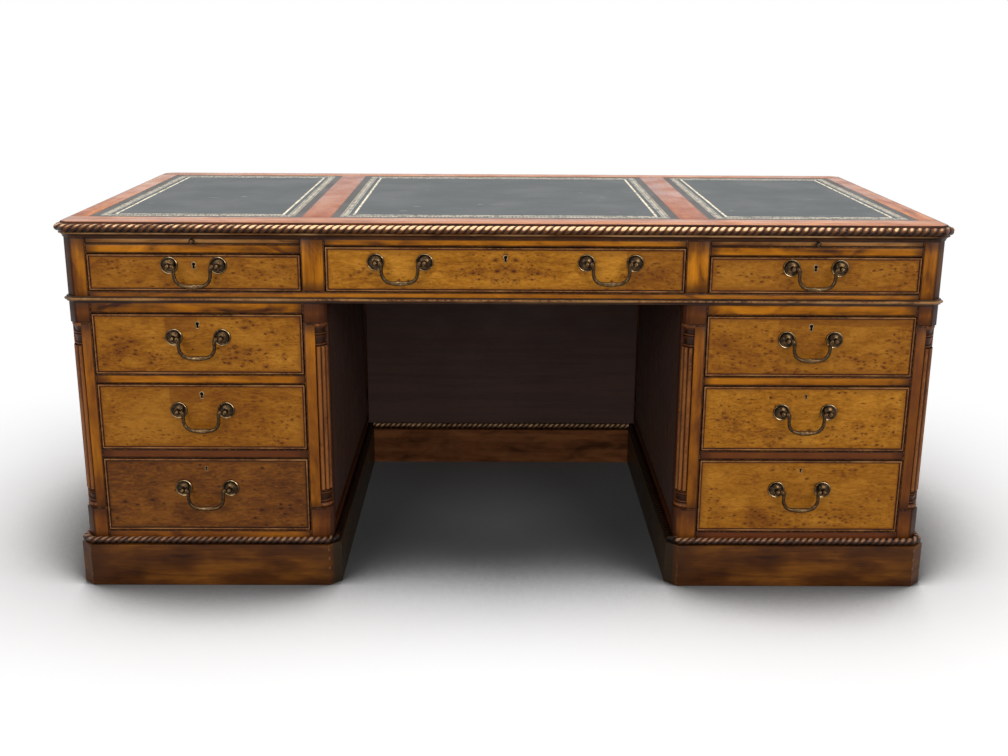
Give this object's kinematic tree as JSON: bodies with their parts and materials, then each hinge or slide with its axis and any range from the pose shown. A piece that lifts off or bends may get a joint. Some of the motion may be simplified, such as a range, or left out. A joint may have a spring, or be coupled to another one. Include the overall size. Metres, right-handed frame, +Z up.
{
  "type": "partners desk",
  "caption": "Pedestal writing desk with a leather-lined top, carved rope edges, reeded corner columns, locking drawers on swan-neck handles and pull-out writing slides.",
  "frame": {"origin": "on the floor under the middle of the desk", "axes": "+X to the right of a person sitting at the front, +Y from the front to the back, +Z up"},
  "size_m": [1.84, 0.9095, 0.795],
  "materials": {
    "mahogany": "french polished mahogany",
    "golden_mahogany": "polished golden mahogany",
    "dark_mahogany": "dark stained and waxed mahogany",
    "burr_veneer": "polished burr veneer",
    "dark_burr": "polished darker burr veneer",
    "carved_rope": "carved and highlighted hardwood",
    "drawer_lining": "bare oak",
    "leather": "dark green-grey hide with gilt tooling",
    "brass": "antiqued brass",
    "steel": "plain wood screws"
  },
  "bodies": {
    "root": {"top_boards": "mahogany", "leather_skivers": "leather", "top_rope_moulding": "carved_rope", "top_cove_moulding": "dark_mahogany", "frieze_frame": "golden_mahogany", "frieze_panels": "mahogany", "waist_moulding": "dark_mahogany", "left_pedestal_frame": "golden_mahogany", "right_pedestal_frame": "golden_mahogany", "left_pedestal_panels": "mahogany", "right_pedestal_panels": "mahogany", "corner_columns": "dark_mahogany", "left_plinth": "dark_mahogany", "right_plinth": "dark_mahogany", "plinth_rope_moulding": "carved_rope", "modesty_panel": "dark_mahogany", "modesty_plinth": "dark_mahogany", "drawer_runners": "drawer_lining", "fixing_screws": "steel"},
    "drawer_frieze_centre": {"drawer_frieze_centre_front": "burr_veneer", "drawer_frieze_centre_box": "drawer_lining", "drawer_frieze_centre_fittings": "brass"},
    "bail_frieze_centre_left": {"bail_frieze_centre_left": "brass"},
    "bail_frieze_centre_right": {"bail_frieze_centre_right": "brass"},
    "drawer_frieze_left": {"drawer_frieze_left_front": "burr_veneer", "drawer_frieze_left_box": "drawer_lining", "drawer_frieze_left_fittings": "brass"},
    "bail_frieze_left": {"bail_frieze_left": "brass"},
    "drawer_left_upper": {"drawer_left_upper_front": "burr_veneer", "drawer_left_upper_box": "drawer_lining", "drawer_left_upper_fittings": "brass"},
    "bail_left_upper": {"bail_left_upper": "brass"},
    "drawer_left_middle": {"drawer_left_middle_front": "burr_veneer", "drawer_left_middle_box": "drawer_lining", "drawer_left_middle_fittings": "brass"},
    "bail_left_middle": {"bail_left_middle": "brass"},
    "drawer_left_lower": {"drawer_left_lower_front": "dark_burr", "drawer_left_lower_box": "drawer_lining", "drawer_left_lower_fittings": "brass"},
    "bail_left_lower": {"bail_left_lower": "brass"},
    "drawer_frieze_right": {"drawer_frieze_right_front": "burr_veneer", "drawer_frieze_right_box": "drawer_lining", "drawer_frieze_right_fittings": "brass"},
    "bail_frieze_right": {"bail_frieze_right": "brass"},
    "drawer_right_upper": {"drawer_right_upper_front": "burr_veneer", "drawer_right_upper_box": "drawer_lining", "drawer_right_upper_fittings": "brass"},
    "bail_right_upper": {"bail_right_upper": "brass"},
    "drawer_right_middle": {"drawer_right_middle_front": "burr_veneer", "drawer_right_middle_box": "drawer_lining", "drawer_right_middle_fittings": "brass"},
    "bail_right_middle": {"bail_right_middle": "brass"},
    "drawer_right_lower": {"drawer_right_lower_front": "burr_veneer", "drawer_right_lower_box": "drawer_lining", "drawer_right_lower_fittings": "brass"},
    "bail_right_lower": {"bail_right_lower": "brass"},
    "left_slide": {"left_writing_slide": "golden_mahogany", "left_slide_knob": "brass"},
    "right_slide": {"right_writing_slide": "golden_mahogany", "right_slide_knob": "brass"}
  },
  "joints": [
    {"name": "drawer_frieze_centre_pull", "type": "slide", "parent": "root", "child": "drawer_frieze_centre", "axis": [0, -1, 0], "range_m": [0, 0.38]},
    {"name": "bail_frieze_centre_left_swing", "type": "hinge", "parent": "drawer_frieze_centre", "child": "bail_frieze_centre_left", "pos_m": [-0.216, -0.454, 0.715], "axis": [-1, 0, 0], "range_deg": [-15, 95]},
    {"name": "bail_frieze_centre_right_swing", "type": "hinge", "parent": "drawer_frieze_centre", "child": "bail_frieze_centre_right", "pos_m": [0.216, -0.454, 0.715], "axis": [-1, 0, 0], "range_deg": [-15, 95]},
    {"name": "drawer_frieze_left_pull", "type": "slide", "parent": "root", "child": "drawer_frieze_left", "axis": [0, -1, 0], "range_m": [0, 0.38]},
    {"name": "bail_frieze_left_swing", "type": "hinge", "parent": "drawer_frieze_left", "child": "bail_frieze_left", "pos_m": [-0.638, -0.454, 0.7065], "axis": [-1, 0, 0], "range_deg": [-15, 95]},
    {"name": "drawer_left_upper_pull", "type": "slide", "parent": "root", "child": "drawer_left_upper", "axis": [0, -1, 0], "range_m": [0, 0.42]},
    {"name": "bail_left_upper_swing", "type": "hinge", "parent": "drawer_left_upper", "child": "bail_left_upper", "pos_m": [-0.638, -0.454, 0.555], "axis": [-1, 0, 0], "range_deg": [-15, 95]},
    {"name": "drawer_left_middle_pull", "type": "slide", "parent": "root", "child": "drawer_left_middle", "axis": [0, -1, 0], "range_m": [0, 0.42]},
    {"name": "bail_left_middle_swing", "type": "hinge", "parent": "drawer_left_middle", "child": "bail_left_middle", "pos_m": [-0.638, -0.454, 0.3965], "axis": [-1, 0, 0], "range_deg": [-15, 95]},
    {"name": "drawer_left_lower_pull", "type": "slide", "parent": "root", "child": "drawer_left_lower", "axis": [0, -1, 0], "range_m": [0, 0.42]},
    {"name": "bail_left_lower_swing", "type": "hinge", "parent": "drawer_left_lower", "child": "bail_left_lower", "pos_m": [-0.638, -0.454, 0.2215], "axis": [-1, 0, 0], "range_deg": [-15, 95]},
    {"name": "drawer_frieze_right_pull", "type": "slide", "parent": "root", "child": "drawer_frieze_right", "axis": [0, -1, 0], "range_m": [0, 0.38]},
    {"name": "bail_frieze_right_swing", "type": "hinge", "parent": "drawer_frieze_right", "child": "bail_frieze_right", "pos_m": [0.638, -0.454, 0.7065], "axis": [-1, 0, 0], "range_deg": [-15, 95]},
    {"name": "drawer_right_upper_pull", "type": "slide", "parent": "root", "child": "drawer_right_upper", "axis": [0, -1, 0], "range_m": [0, 0.42]},
    {"name": "bail_right_upper_swing", "type": "hinge", "parent": "drawer_right_upper", "child": "bail_right_upper", "pos_m": [0.638, -0.454, 0.555], "axis": [-1, 0, 0], "range_deg": [-15, 95]},
    {"name": "drawer_right_middle_pull", "type": "slide", "parent": "root", "child": "drawer_right_middle", "axis": [0, -1, 0], "range_m": [0, 0.42]},
    {"name": "bail_right_middle_swing", "type": "hinge", "parent": "drawer_right_middle", "child": "bail_right_middle", "pos_m": [0.638, -0.454, 0.3965], "axis": [-1, 0, 0], "range_deg": [-15, 95]},
    {"name": "drawer_right_lower_pull", "type": "slide", "parent": "root", "child": "drawer_right_lower", "axis": [0, -1, 0], "range_m": [0, 0.42]},
    {"name": "bail_right_lower_swing", "type": "hinge", "parent": "drawer_right_lower", "child": "bail_right_lower", "pos_m": [0.638, -0.454, 0.2215], "axis": [-1, 0, 0], "range_deg": [-15, 95]},
    {"name": "left_slide_pull", "type": "slide", "parent": "root", "child": "left_slide", "axis": [0, -1, 0], "range_m": [0, 0.3]},
    {"name": "right_slide_pull", "type": "slide", "parent": "root", "child": "right_slide", "axis": [0, -1, 0], "range_m": [0, 0.3]}
  ]
}
